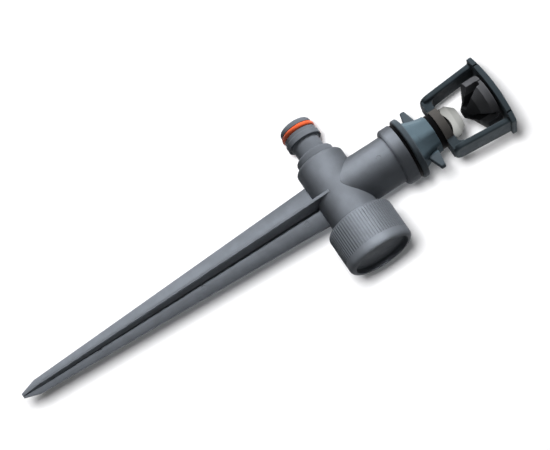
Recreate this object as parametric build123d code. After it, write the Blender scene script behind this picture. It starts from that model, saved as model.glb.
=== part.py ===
"""Garden spike sprinkler: a spike and tee moulding, a screwed end cap and a screwed swivel head.

The frame is in millimetres. +Z runs up the spike axis, +X runs along the barrel towards the end
cap, and the origin lies on the spike axis at soil level.
"""
from build123d import *

import math
import os

# Fits and gaps, all radial or axial distances between two pieces
RUNNING_GAP = 0.04
PRESS_GAP = 0.02
LOOSE_GAP = 0.30

# Barrel of the tee, lengths measured along X
BARREL_OD = 26.1
BARREL_BORE = 19.0
BARREL_INLET_REACH = 19.8
BARREL_OUTLET_REACH = 16.0
BARREL_INLET_CORNER = 2.2
END_WALL = 2.8
SOIL_CLEARANCE = 2.5

# Hose nipple on the inlet end, each length follows the one before it outwards
NIPPLE_BORE = 9.2
SHOULDER_OD = 20.2
SHOULDER_LENGTH = 4.5
SHOULDER_CORNER = 1.6
NECK_OD = 14.7
NECK_LENGTH = 7.6
NECK_FILLET = 1.0
LIP_OD = 18.4
LIP_LENGTH = 2.6
LIP_RAMP = 0.6
COLLAR_OD = 17.2
COLLAR_LENGTH = 2.3
O_RING_SECTION = 2.9
O_RING_SIDE_ROOM = 0.05
NOSE_OD = 17.0
NOSE_LENGTH = 3.0
NOSE_CORNER = 2.0

# Outlet spigot and its screwed end cap
SPIGOT_LENGTH = 14.0
SPIGOT_THREAD_OD = 26.44
SPIGOT_THREAD_DEPTH = 1.16
SPIGOT_THREAD_START = 2.2
SPIGOT_THREAD_LENGTH = 9.5
THREAD_PITCH = 1.814
THREAD_CREST_SHARE = 0.22
THREAD_SINK = 0.1
CAP_OD = 35.3
CAP_LENGTH = 22.0
CAP_FACE_GAP = 0.5
CAP_INNER_CORNER = 2.6
CAP_OUTER_CORNER = 2.3
CAP_END_WALL = 2.6
CAP_RECESS_OD = 29.6
CAP_RECESS_CORNER = 0.8
CAP_SEAL_THICKNESS = 2.4
RIB_COUNT = 72
RIB_DEPTH = 0.55
RIB_CREST_SHARE = 0.5
RIB_BAND_END = 4.6

# Riser branch with its threaded socket
RISER_OD = 25.7
RISER_HEIGHT = 37.6
RISER_BORE = 16.4
SOCKET_OD = 30.7
SOCKET_HEIGHT = 6.6
SOCKET_CORNER = 1.8
SOCKET_RIM = 0.5
SOCKET_DEPTH = 15.6
HEAD_THREAD_OD = 20.955
HEAD_THREAD_DEPTH = 1.16
HEAD_THREAD_START = 1.2
HEAD_THREAD_LENGTH = 9.6

# Ground spike with four tapered fins
FIN_REACH_TOP = 12.1
FIN_REACH_LOW = 3.9
FIN_REACH_TIP = 1.2
FIN_ROOT_TOP = 2.8
FIN_ROOT_LOW = 2.0
FIN_ROOT_TIP = 1.2
FIN_EDGE_TOP = 1.4
FIN_EDGE_LOW = 1.2
FIN_EDGE_TIP = 0.9
FIN_TAPER_LENGTH = 170.0
FIN_POINT_LENGTH = 8.3
FIN_TOP_DROP = 4.75
EJECTOR_OD = 2.6
EJECTOR_DEPTH = 0.25
EJECTOR_SPACING = 59.0
EJECTOR_COUNT = 3
EJECTOR_FIRST_DROP = 22.0
EJECTOR_REACH_SHARE = 0.42
GATE_HEIGHT = 24.0

# Winged base of the head
HEAD_SEAL_OD = 29.4
HEAD_SEAL_THICKNESS = 1.7
STUB_LENGTH = 13.6
STUB_BORE = 13.6
FLANGE_OD = 32.5
FLANGE_HEIGHT = 3.2
FLANGE_CORNER = 0.9
BODY_HEIGHT = 11.9
BODY_FOOT_WIDTH = 25.6
BODY_WAIST_WIDTH = 22.0
BODY_TOP_WIDTH = 18.9
BODY_WAIST_SHARE = 0.35
BODY_SIDES = 8
BODY_CORNER_SHARE = 0.45
BODY_TURN = 12.0
WING_REACH = 20.5
WING_ROOT_LOW = 1.6
WING_ROOT_HIGH = 9.6
WING_TIP_LOW = 4.9
WING_TIP_HIGH = 7.4
WING_THICKNESS = 2.8
WING_EDGE = 0.9
WING_ROOT_WALL = 1.0
WING_TURN = -16.0

# Rubber ring, nozzle and its O-ring
YOKE_RING_OD = 18.9
YOKE_RING_THICKNESS = 3.1
YOKE_RING_CORNER = 0.4
STEM_OD = 12.0
STEM_LENGTH = 16.5
NOZZLE_BORE = 7.6
NOZZLE_ORIFICE = 3.2
NOZZLE_ORIFICE_LENGTH = 1.6
NOZZLE_OD = 16.8
NOZZLE_HEIGHT = 8.0
NOZZLE_CHAMFER = 3.2
NOZZLE_CHAMFER_RISE = 3.8
NOZZLE_CORNER = 0.5
ARCH_LENGTH = 11.3
ARCH_HEIGHT = 1.6
ARCH_CORE_OD = 13.0
ARCH_TURN = 20.0
STEM_RING_SECTION = 1.6
STEM_RING_DROP = 12.6

# Yoke with its two arms and the arched top plate
HUB_OD = 20.0
HUB_HEIGHT = 4.4
CROSSBAR_WIDTH = 11.0
WINDOW_CORNER = 2.5
ARM_INNER_LOW = 13.2
ARM_INNER_TOP = 15.8
ARM_THICKNESS = 3.1
ARM_DEPTH = 14.0
ARM_TONGUE = 4.6
ARM_EDGE = 1.0
TENON_THICKNESS = 1.7
TENON_DEPTH = 6.4
PLATE_LENGTH = 40.6
PLATE_END_DEPTH = 15.6
PLATE_MIDDLE_DEPTH = 22.0
PLATE_THICKNESS = 2.7
PLATE_ARCH = 0.9
PLATE_CROWN = 0.5
PLATE_EDGE = 0.5
NOTCH_WIDTH = 0.9
NOTCH_DEPTH = 0.7

# Swivel and its spindle
SWIVEL_TIP_GAP = 2.4
SWIVEL_HEIGHT = 15.1
SWIVEL_OD = 26.0
SWIVEL_CORE_OD = 25.0
SWIVEL_TIP_OD = 4.6
SWIVEL_CORE_RISE = 11.2
SWIVEL_WING_RISE = 7.2
SWIVEL_FLARE_OD = 10.8
SWIVEL_FLARE_RISE = 3.0
SWIVEL_WING_SPAN = 84.0
SWIVEL_ROOF = 1.7
SWIVEL_CORNER = 0.5
SLOT_COUNT = 4
SLOT_WIDTH = 3.2
SLOT_CORNER = 1.4
SLOT_INNER_RADIUS = 3.4
SLOT_OFFSET = 0.45
SWIVEL_REST_TURN = 17.0
SPINDLE_OD = 3.0
SPINDLE_SEAT = 7.0
SPINDLE_STAND = 0.6
SPINDLE_CORNER = 0.3
THRUST_OD = 7.0
THRUST_THICKNESS = 0.8
BUSH_OD = 5.2
BUSH_FLANGE_OD = 8.0
BUSH_FLANGE_THICKNESS = 0.7
CLIP_OD = 6.4
CLIP_THICKNESS = 0.7
CLIP_GAP = 0.05
CLIP_ROOM = 1.1

# Heights of the main faces, worked out from the sizes above
BARREL_Z = CAP_OD / 2 + SOIL_CLEARANCE
SOCKET_TOP = BARREL_Z + RISER_HEIGHT
FLANGE_LOW = SOCKET_TOP + HEAD_SEAL_THICKNESS
FLANGE_TOP = FLANGE_LOW + FLANGE_HEIGHT
BASE_TOP = FLANGE_TOP + BODY_HEIGHT
HUB_LOW = BASE_TOP + YOKE_RING_THICKNESS
HUB_SEAT = HUB_LOW + HUB_HEIGHT
NOZZLE_TOP = HUB_SEAT + NOZZLE_HEIGHT
STEM_LOW = HUB_SEAT - STEM_LENGTH
SWIVEL_TIP = NOZZLE_TOP + SWIVEL_TIP_GAP
SWIVEL_TOP = SWIVEL_TIP + SWIVEL_HEIGHT
BUSH_LOW = SWIVEL_TOP + THRUST_THICKNESS
PLATE_LOW = BUSH_LOW + BUSH_FLANGE_THICKNESS
PLATE_TOP = PLATE_LOW + PLATE_THICKNESS + PLATE_CROWN
ARM_TOP = PLATE_LOW - PLATE_ARCH / 2
CLIP_FLOOR = PLATE_TOP - CLIP_ROOM - CLIP_THICKNESS

# Places along X, worked out from the sizes above
SHOULDER_X = -BARREL_INLET_REACH
NECK_X = SHOULDER_X - SHOULDER_LENGTH
LIP_X = NECK_X - NECK_LENGTH
COLLAR_X = LIP_X - LIP_LENGTH
GROOVE_X = COLLAR_X - COLLAR_LENGTH
GROOVE_WIDTH = O_RING_SECTION + 2 * O_RING_SIDE_ROOM
NOSE_X = GROOVE_X - GROOVE_WIDTH
INLET_X = NOSE_X - NOSE_LENGTH
GROOVE_RADIUS = LIP_OD / 2 - O_RING_SECTION
SPIGOT_X = BARREL_OUTLET_REACH + SPIGOT_LENGTH
CAP_X = BARREL_OUTLET_REACH + CAP_FACE_GAP
CAP_SEAT_X = SPIGOT_X + CAP_SEAL_THICKNESS
CAP_BORE_RADIUS = SPIGOT_THREAD_OD / 2 + LOOSE_GAP
SOCKET_BORE_RADIUS = HEAD_THREAD_OD / 2 + LOOSE_GAP
TENON_X = ARM_INNER_TOP + ARM_THICKNESS / 2


def between(start, finish, share):
    """Value that lies the given share of the way from start to finish."""
    return start + (finish - start) * share


def rounded_face(corners):
    """Flat closed face from (x, y, corner radius) triples, with each corner rounded by its radius."""
    points = [Vector(x, y) for x, y, radius in corners]
    edges = []
    leaving = []
    arriving = []
    for index, (x, y, radius) in enumerate(corners):
        point = points[index]
        if radius == 0:
            arriving.append(point)
            leaving.append(point)
            continue
        back = (points[index - 1] - point).normalized()
        ahead = (points[(index + 1) % len(points)] - point).normalized()
        half_angle = math.radians(back.get_angle(ahead)) / 2
        reach = radius / math.tan(half_angle)
        sagitta = radius / math.sin(half_angle) - radius
        start = point + back * reach
        finish = point + ahead * reach
        edges.append(ThreePointArc(start, point + (back + ahead).normalized() * sagitta, finish))
        arriving.append(start)
        leaving.append(finish)
    for index, start in enumerate(leaving):
        finish = arriving[(index + 1) % len(arriving)]
        if (finish - start).length > 1e-6:
            edges.append(Line(start, finish))
    return make_face(edges)


def turned_about_x(corners):
    """Solid of revolution on the barrel axis from (place along X, radius, corner radius) triples."""
    return Pos(0, 0, BARREL_Z) * revolve(Plane.XZ * rounded_face(corners), Axis.X)


def turned_about_z(corners):
    """Solid of revolution on the spike axis from (radius, height, corner radius) triples."""
    return revolve(Plane.XZ * rounded_face(corners), Axis.Z)


def plug_along_x(radius, start, finish):
    """Plain cylinder on the barrel axis between two places along X."""
    return turned_about_x([(start, 0, 0), (start, radius, 0), (finish, radius, 0), (finish, 0, 0)])


def plug_along_z(radius, low, high):
    """Plain cylinder on the spike axis between two heights."""
    return turned_about_z([(0, low, 0), (radius, low, 0), (radius, high, 0), (0, high, 0)])


def ring_about_z(outer_radius, inner_radius, low, high, corner=0):
    """Flat ring on the spike axis between two heights."""
    return turned_about_z(
        [
            (inner_radius, low, 0),
            (outer_radius, low, corner),
            (outer_radius, high, corner),
            (inner_radius, high, 0),
        ]
    )


def thread_ridge(thread_od, depth, length):
    """Right-hand helical ridge on +Z, starting at the origin, whose foot is sunk in its core."""
    crest_radius = thread_od / 2
    foot_radius = crest_radius - depth - THREAD_SINK
    crest_half = THREAD_PITCH * THREAD_CREST_SHARE / 2
    foot_half = THREAD_PITCH * (1 - THREAD_CREST_SHARE) / 2
    path = Helix(THREAD_PITCH, length, crest_radius)
    profile = Polygon(
        (foot_radius, -foot_half),
        (crest_radius, -crest_half),
        (crest_radius, crest_half),
        (foot_radius, foot_half),
        align=None,
    )
    return sweep(Plane.XZ * profile, path=path, is_frenet=True)


def fin_section(reach, root, edge, height):
    """Cross-shaped section of the spike whose four fins thin out from their root to their edge."""
    corners = []
    for quarter in range(4):
        turn = 90 * quarter
        for x, y in ((reach, -edge / 2), (reach, edge / 2), (root / 2, root / 2)):
            corners.append(Vector(x, y).rotate(Axis.Z, turn))
    return Pos(0, 0, height) * Polygon(*[(point.X, point.Y) for point in corners], align=None)


def make_hose_nipple():
    """Nipple for a quick hose coupling, with its shoulder and the end wall that closes the barrel."""
    lip_radius = LIP_OD / 2
    inner_end = SHOULDER_X + END_WALL
    outline = [
        (INLET_X, NIPPLE_BORE / 2, 0),
        (INLET_X, NOSE_OD / 2, NOSE_CORNER),
        (NOSE_X, NOSE_OD / 2, 0),
        (NOSE_X, GROOVE_RADIUS, 0),
        (GROOVE_X, GROOVE_RADIUS, 0),
        (GROOVE_X, COLLAR_OD / 2, 0),
        (COLLAR_X - LIP_RAMP, COLLAR_OD / 2, 0),
        (COLLAR_X, lip_radius, 0),
        (LIP_X, lip_radius, 0),
        (LIP_X, NECK_OD / 2, NECK_FILLET),
        (NECK_X, NECK_OD / 2, NECK_FILLET),
        (NECK_X, SHOULDER_OD / 2, SHOULDER_CORNER),
        (SHOULDER_X, SHOULDER_OD / 2, 0),
        (SHOULDER_X, BARREL_BORE / 2, 0),
        (inner_end, BARREL_BORE / 2, 0),
        (inner_end, NIPPLE_BORE / 2, 0),
    ]
    return turned_about_x(outline)


def make_barrel():
    """Tube of the barrel, with a hole in its upper side that leads into the riser."""
    outline = [
        (SHOULDER_X, BARREL_BORE / 2, 0),
        (SHOULDER_X, BARREL_OD / 2, BARREL_INLET_CORNER),
        (BARREL_OUTLET_REACH, BARREL_OD / 2, 0),
        (BARREL_OUTLET_REACH, BARREL_BORE / 2, 0),
    ]
    return turned_about_x(outline) - plug_along_z(RISER_BORE / 2, BARREL_Z, SOCKET_TOP)


def make_outlet_spigot():
    """Threaded tube that carries the barrel's bore on into the end cap."""
    core = SPIGOT_THREAD_OD / 2 - SPIGOT_THREAD_DEPTH
    outline = [
        (BARREL_OUTLET_REACH, BARREL_BORE / 2, 0),
        (BARREL_OUTLET_REACH, core, 0),
        (SPIGOT_X, core, 0),
        (SPIGOT_X, BARREL_BORE / 2, 0),
    ]
    ridge = thread_ridge(SPIGOT_THREAD_OD, SPIGOT_THREAD_DEPTH, SPIGOT_THREAD_LENGTH)
    place = Pos(BARREL_OUTLET_REACH + SPIGOT_THREAD_START, 0, BARREL_Z) * Rot(0, 90, 0)
    return turned_about_x(outline) + place * ridge


def tool_mark():
    """Round pin of the moulding tool, lying along Y, that leaves a shallow mark where it dips in."""
    return Rot(90, 0, 0) * Cylinder(EJECTOR_OD / 2, 2 * FIN_ROOT_TOP)


def make_riser():
    """Upright branch, saddled on the barrel, whose top widens into the collar of the socket."""
    collar_low = SOCKET_TOP - SOCKET_HEIGHT
    outline = [
        (RISER_BORE / 2, BARREL_Z, 0),
        (RISER_OD / 2, BARREL_Z, 0),
        (RISER_OD / 2, collar_low, 0),
        (SOCKET_OD / 2, collar_low, SOCKET_CORNER),
        (SOCKET_OD / 2, SOCKET_TOP, SOCKET_RIM),
        (RISER_BORE / 2, SOCKET_TOP, 0),
    ]
    riser = turned_about_z(outline) - plug_along_x(BARREL_OD / 2, SHOULDER_X, BARREL_OUTLET_REACH)
    riser -= plug_along_z(SOCKET_BORE_RADIUS, SOCKET_TOP - SOCKET_DEPTH, SOCKET_TOP)
    gate_y = EJECTOR_DEPTH - RISER_OD / 2 - FIN_ROOT_TOP
    return riser - Pos(0, gate_y, BARREL_Z + GATE_HEIGHT) * tool_mark()


def make_spike_fins():
    """Four tapered fins with a blunt point, which end on the barrel's round underside."""
    top = BARREL_Z - FIN_TOP_DROP
    low = top - FIN_TAPER_LENGTH
    upper = fin_section(FIN_REACH_TOP, FIN_ROOT_TOP, FIN_EDGE_TOP, top)
    lower = fin_section(FIN_REACH_LOW, FIN_ROOT_LOW, FIN_EDGE_LOW, low)
    tip = fin_section(FIN_REACH_TIP, FIN_ROOT_TIP, FIN_EDGE_TIP, low - FIN_POINT_LENGTH)
    fins = loft([upper, lower], ruled=True) + loft([lower, tip], ruled=True)
    fins -= plug_along_x(BARREL_OD / 2, SHOULDER_X, BARREL_OUTLET_REACH)
    for index in range(EJECTOR_COUNT):
        drop = EJECTOR_FIRST_DROP + index * EJECTOR_SPACING
        share = (drop - FIN_TOP_DROP) / FIN_TAPER_LENGTH
        reach = between(FIN_REACH_TOP, FIN_REACH_LOW, share)
        root = between(FIN_ROOT_TOP, FIN_ROOT_LOW, share)
        edge = between(FIN_EDGE_TOP, FIN_EDGE_LOW, share)
        x = reach * EJECTOR_REACH_SHARE
        thickness = between(root, edge, (x - root / 2) / (reach - root / 2))
        y = EJECTOR_DEPTH - thickness / 2 - FIN_ROOT_TOP
        fins -= Pos(x, y, BARREL_Z - drop) * tool_mark()
    return fins


def make_inlet_o_ring():
    """Round-section ring that sits in the nipple's groove."""
    middle = GROOVE_X - GROOVE_WIDTH / 2
    section = O_RING_SECTION / 2 - PRESS_GAP
    ring = Torus(GROOVE_RADIUS + O_RING_SECTION / 2, section)
    return Pos(middle, 0, BARREL_Z) * Rot(0, 90, 0) * ring


def cap_envelope(shrink):
    """Outside of the end cap as a solid of revolution, drawn in by the given amount."""
    radius = CAP_OD / 2 - shrink
    return turned_about_x(
        [
            (CAP_X, 0, 0),
            (CAP_X, radius, CAP_INNER_CORNER - shrink),
            (CAP_X + CAP_LENGTH, radius, CAP_OUTER_CORNER),
            (CAP_X + CAP_LENGTH, 0, 0),
        ]
    )


def rib_ring():
    """Toothed disc, as long as the gripping band, whose teeth are the cap's ribs."""
    crest = CAP_OD / 2 + RIB_DEPTH
    valley = CAP_OD / 2 - RIB_DEPTH
    step = 360 / RIB_COUNT
    corners = []
    for index in range(RIB_COUNT):
        middle = index * step
        half_crest = step * RIB_CREST_SHARE / 4
        half_foot = step * RIB_CREST_SHARE / 2
        for radius, angle in (
            (valley, middle - half_foot),
            (crest, middle - half_crest),
            (crest, middle + half_crest),
            (valley, middle + half_foot),
        ):
            corners.append((radius * math.cos(math.radians(angle)), radius * math.sin(math.radians(angle))))
    band = CAP_LENGTH - RIB_BAND_END
    disc = extrude(Polygon(*corners, align=None), band)
    return Pos(CAP_X, 0, BARREL_Z) * Rot(0, 90, 0) * disc


def make_end_cap():
    """Ribbed screw cap with a plain rounded rim and a shallow recess in its end face."""
    end = CAP_X + CAP_LENGTH
    rim = cap_envelope(0) & plug_along_x(CAP_OD, end - RIB_BAND_END, end)
    cap = cap_envelope(RIB_DEPTH) + rim + (rib_ring() & cap_envelope(0))
    cap -= plug_along_x(CAP_BORE_RADIUS, CAP_X, CAP_SEAT_X)
    recess_floor = CAP_SEAT_X + CAP_END_WALL
    recess = turned_about_x(
        [
            (recess_floor, 0, 0),
            (recess_floor, CAP_RECESS_OD / 2, CAP_RECESS_CORNER),
            (end, CAP_RECESS_OD / 2, 0),
            (end, 0, 0),
        ]
    )
    return cap - recess


def make_end_cap_seal():
    """Flat rubber washer pressed between the spigot's end and the floor of the cap."""
    outer = plug_along_x(CAP_BORE_RADIUS - LOOSE_GAP, SPIGOT_X, CAP_SEAT_X)
    return outer - plug_along_x(BARREL_BORE / 2, SPIGOT_X, CAP_SEAT_X)


def make_head_seal():
    """Flat rubber washer between the socket's rim and the base flange."""
    return ring_about_z(HEAD_SEAL_OD / 2, SOCKET_BORE_RADIUS, SOCKET_TOP, FLANGE_LOW)


def body_section(width, height):
    """Softly rounded eight-sided section of the base, given by its width across the flats."""
    outline = RegularPolygon(width / 2, BODY_SIDES, major_radius=False, rotation=BODY_TURN)
    side = width * math.tan(math.pi / BODY_SIDES)
    outline = fillet(outline.vertices(), side * BODY_CORNER_SHARE)
    return Pos(0, 0, height) * outline


def make_wings():
    """Two opposite finger wings that taper outwards, as plates in one upright plane."""
    root = STUB_BORE / 2 + WING_ROOT_WALL
    outline = [
        (root, FLANGE_TOP + WING_ROOT_LOW, 0),
        (WING_REACH, FLANGE_TOP + WING_TIP_LOW, WING_EDGE),
        (WING_REACH, FLANGE_TOP + WING_TIP_HIGH, WING_EDGE),
        (root, FLANGE_TOP + WING_ROOT_HIGH, 0),
    ]
    plate = extrude(Plane.XZ * rounded_face(outline), WING_THICKNESS / 2, both=True)
    rims = plate.edges().filter_by(lambda edge: edge.center().X > root + 0.1).filter_by(
        lambda edge: abs(abs(edge.center().Y) - WING_THICKNESS / 2) < 1e-3
    )
    wing = fillet(rims, WING_EDGE)
    return [Rot(0, 0, WING_TURN + turn) * wing for turn in (0, 180)]


def make_head_stub():
    """Threaded tube under the flange, which screws into the socket."""
    low = FLANGE_LOW - STUB_LENGTH
    core = HEAD_THREAD_OD / 2 - HEAD_THREAD_DEPTH
    ridge = thread_ridge(HEAD_THREAD_OD, HEAD_THREAD_DEPTH, HEAD_THREAD_LENGTH)
    return ring_about_z(core, STUB_BORE / 2, low, FLANGE_LOW) + Pos(0, 0, low + HEAD_THREAD_START) * ridge


def make_head_base():
    """Flange, waisted eight-sided body and two wings of the screwed base."""
    base = turned_about_z(
        [
            (0, FLANGE_LOW, 0),
            (FLANGE_OD / 2, FLANGE_LOW, FLANGE_CORNER),
            (FLANGE_OD / 2, FLANGE_TOP, FLANGE_CORNER),
            (0, FLANGE_TOP, 0),
        ]
    )
    waist = FLANGE_TOP + BODY_HEIGHT * BODY_WAIST_SHARE
    base += loft(
        [
            body_section(BODY_FOOT_WIDTH, FLANGE_TOP),
            body_section(BODY_WAIST_WIDTH, waist),
            body_section(BODY_TOP_WIDTH, BASE_TOP),
        ]
    )
    for wing in make_wings():
        base += wing
    base -= plug_along_z(STEM_OD / 2 + PRESS_GAP, STEM_LOW, BASE_TOP)
    return base - plug_along_z(STUB_BORE / 2, FLANGE_LOW, STEM_LOW)


def make_yoke_ring():
    """Black rubber ring on which the yoke's hub sits."""
    return ring_about_z(YOKE_RING_OD / 2, STEM_OD / 2 + PRESS_GAP, BASE_TOP, HUB_LOW, YOKE_RING_CORNER)


def make_nozzle_stem():
    """Tube under the nozzle that passes down through the hub and the ring into the base."""
    stem = STEM_OD / 2
    groove_high = HUB_SEAT - STEM_RING_DROP + STEM_RING_SECTION
    groove_low = HUB_SEAT - STEM_RING_DROP - STEM_RING_SECTION / 2
    groove_floor = stem - STEM_RING_SECTION + PRESS_GAP
    return turned_about_z(
        [
            (NOZZLE_BORE / 2, STEM_LOW, 0),
            (stem, STEM_LOW, 0),
            (stem, groove_low, 0),
            (groove_floor, groove_low, 0),
            (groove_floor, groove_high, 0),
            (stem, groove_high, 0),
            (stem, HUB_SEAT, 0),
            (NOZZLE_BORE / 2, HUB_SEAT, 0),
        ]
    )


def nozzle_arch(turn):
    """Low arch through the foot of the nozzle, as a lying cylinder turned about the spike axis."""
    half = ARCH_LENGTH / 2
    radius = (half**2 + ARCH_HEIGHT**2) / (2 * ARCH_HEIGHT)
    lying = Pos(0, 0, HUB_SEAT + ARCH_HEIGHT - radius) * Rot(90, 0, 0) * Cylinder(radius, NOZZLE_OD)
    return Rot(0, 0, turn) * lying - plug_along_z(ARCH_CORE_OD / 2, HUB_LOW, NOZZLE_TOP)


def make_nozzle():
    """Pale nozzle with a coned top and four low arches round its foot."""
    shoulder = NOZZLE_TOP - NOZZLE_CHAMFER_RISE
    throat = NOZZLE_TOP - NOZZLE_ORIFICE_LENGTH
    cone_foot = throat - (NOZZLE_BORE - NOZZLE_ORIFICE) / 2
    nozzle = turned_about_z(
        [
            (NOZZLE_BORE / 2, HUB_SEAT, 0),
            (NOZZLE_OD / 2, HUB_SEAT, 0),
            (NOZZLE_OD / 2, shoulder, NOZZLE_CORNER),
            (NOZZLE_OD / 2 - NOZZLE_CHAMFER, NOZZLE_TOP, NOZZLE_CORNER),
            (NOZZLE_ORIFICE / 2, NOZZLE_TOP, 0),
            (NOZZLE_ORIFICE / 2, throat, 0),
            (NOZZLE_BORE / 2, cone_foot, 0),
        ]
    )
    for turn in (ARCH_TURN, ARCH_TURN + 90):
        nozzle -= nozzle_arch(turn)
    return nozzle


def make_nozzle_o_ring():
    """Small ring in the stem's groove that seals the nozzle in the base."""
    section = STEM_RING_SECTION / 2 - PRESS_GAP
    middle = HUB_SEAT - STEM_RING_DROP + STEM_RING_SECTION / 4
    return Pos(0, 0, middle) * Torus(STEM_OD / 2 - STEM_RING_SECTION / 2 + PRESS_GAP, section)


def window_foot():
    """Lower end of the yoke's window with its two rounded corners, as a solid that lies along Y."""
    top = HUB_SEAT + 2 * WINDOW_CORNER
    outline = [
        (-ARM_INNER_LOW, HUB_SEAT, WINDOW_CORNER),
        (ARM_INNER_LOW, HUB_SEAT, WINDOW_CORNER),
        (ARM_INNER_LOW, top, 0),
        (-ARM_INNER_LOW, top, 0),
    ]
    return extrude(Plane.XZ * rounded_face(outline), HUB_OD, both=True)


def make_arm():
    """Leaning plate arm on the +X side with a rounded lower tongue and a tenon on top."""
    height = ARM_TOP - HUB_LOW
    lean = [
        (ARM_INNER_LOW, HUB_LOW, 0),
        (ARM_INNER_LOW + ARM_THICKNESS, HUB_LOW, 0),
        (ARM_INNER_TOP + ARM_THICKNESS, ARM_TOP, 0),
        (ARM_INNER_TOP, ARM_TOP, 0),
    ]
    plate = extrude(Plane.XZ * rounded_face(lean), ARM_DEPTH / 2, both=True)
    tongue = [
        (-ARM_DEPTH / 2, HUB_LOW, ARM_TONGUE),
        (ARM_DEPTH / 2, HUB_LOW, ARM_TONGUE),
        (ARM_DEPTH / 2, HUB_LOW + height, 0),
        (-ARM_DEPTH / 2, HUB_LOW + height, 0),
    ]
    plate &= extrude(Plane.YZ * rounded_face(tongue), 2 * ARM_INNER_TOP)
    low_edges = plate.edges().filter_by(lambda edge: edge.center().Z < ARM_TOP - 1e-3)
    plate = fillet(low_edges, ARM_EDGE)
    tenon_height = PLATE_TOP - PLATE_ARCH - PLATE_CROWN - ARM_TOP
    tenon = Pos(TENON_X, 0, ARM_TOP + tenon_height / 2) * Box(TENON_THICKNESS, TENON_DEPTH, tenon_height)
    return plate + tenon


def make_yoke():
    """Hub with its crossbar and the two arms, between which the window opens."""
    hub = plug_along_z(HUB_OD / 2, HUB_LOW, HUB_SEAT)
    bar_height = HUB_HEIGHT + WINDOW_CORNER
    bar_length = 2 * ARM_INNER_LOW + ARM_THICKNESS
    bar = Pos(0, 0, HUB_LOW + bar_height / 2) * Box(bar_length, CROSSBAR_WIDTH, bar_height)
    yoke = hub + (bar - window_foot())
    arm = make_arm()
    yoke += arm
    yoke += mirror(arm, Plane.YZ)
    return yoke - plug_along_z(STEM_OD / 2 + PRESS_GAP, HUB_LOW, HUB_SEAT)


def arc_through(half_span, middle, end):
    """Arc over X from minus to plus half_span with the given heights at its middle and ends."""
    return ThreePointArc((-half_span, end), (0, middle), (half_span, end))


def make_yoke_top():
    """Arched top plate with bowed edges, slots for the arm tenons and a bore for the bush."""
    half = PLATE_LENGTH / 2
    end_low = PLATE_LOW - PLATE_ARCH
    end_top = PLATE_TOP - PLATE_ARCH - PLATE_CROWN
    lower = arc_through(half, PLATE_LOW, end_low)
    upper = arc_through(half, PLATE_TOP, end_top)
    side = make_face([lower, Line(lower @ 1, upper @ 1), upper, Line(upper @ 0, lower @ 0)])
    arch = extrude(Plane.XZ * side, PLATE_MIDDLE_DEPTH, both=True)
    front = arc_through(half, -PLATE_MIDDLE_DEPTH / 2, -PLATE_END_DEPTH / 2)
    back = arc_through(half, PLATE_MIDDLE_DEPTH / 2, PLATE_END_DEPTH / 2)
    plan = make_face([front, Line(front @ 1, back @ 1), back, Line(back @ 0, front @ 0)])
    plate = arch & Pos(0, 0, end_low) * extrude(plan, PLATE_TOP - end_low)
    plate = fillet(plate.edges(), PLATE_EDGE)
    slot_height = PLATE_TOP - end_low
    slot = Box(TENON_THICKNESS + 2 * PRESS_GAP, TENON_DEPTH + 2 * PRESS_GAP, 2 * slot_height)
    seat = Box(ARM_THICKNESS + 2 * LOOSE_GAP, ARM_DEPTH + 2 * LOOSE_GAP, slot_height)
    notch = Box(NOTCH_WIDTH, 2 * NOTCH_DEPTH, 2 * slot_height)
    for side_sign in (-1, 1):
        plate -= Pos(side_sign * TENON_X, 0, PLATE_LOW) * slot
        plate -= Pos(side_sign * TENON_X, 0, ARM_TOP - slot_height / 2) * seat
        notch_x = side_sign * (ARM_INNER_TOP - NOTCH_WIDTH)
        for edge_curve in (front, back):
            share = (notch_x + half) / PLATE_LENGTH
            plate -= Pos(notch_x, (edge_curve @ share).Y, PLATE_LOW) * notch
    plate -= plug_along_z(BUSH_FLANGE_OD / 2 + LOOSE_GAP, end_low, PLATE_LOW)
    plate -= plug_along_z(BUSH_OD / 2 + PRESS_GAP, PLATE_LOW, PLATE_TOP)
    plate -= plug_along_z(CLIP_OD / 2 + 2 * LOOSE_GAP, CLIP_FLOOR, PLATE_TOP)
    return plate


def make_bearing_bush():
    """Flanged plastic bush pushed up into the top plate."""
    bore = SPINDLE_OD / 2 + RUNNING_GAP
    return turned_about_z(
        [
            (bore, BUSH_LOW, 0),
            (BUSH_FLANGE_OD / 2, BUSH_LOW, 0),
            (BUSH_FLANGE_OD / 2, PLATE_LOW, 0),
            (BUSH_OD / 2, PLATE_LOW, 0),
            (BUSH_OD / 2, CLIP_FLOOR, 0),
            (bore, CLIP_FLOOR, 0),
        ]
    )


def swivel_profile(points):
    """Turned swivel blank whose lower outline runs through (radius, rise above the tip) pairs."""
    corners = [(0, SWIVEL_TIP, 0), (SWIVEL_TIP_OD / 2, SWIVEL_TIP, 0)]
    for radius, rise in points:
        corners.append((radius, SWIVEL_TIP + rise, 0))
    corners.append((points[-1][0], SWIVEL_TOP, SWIVEL_CORNER))
    corners.append((0, SWIVEL_TOP, 0))
    return turned_about_z(corners)


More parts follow.
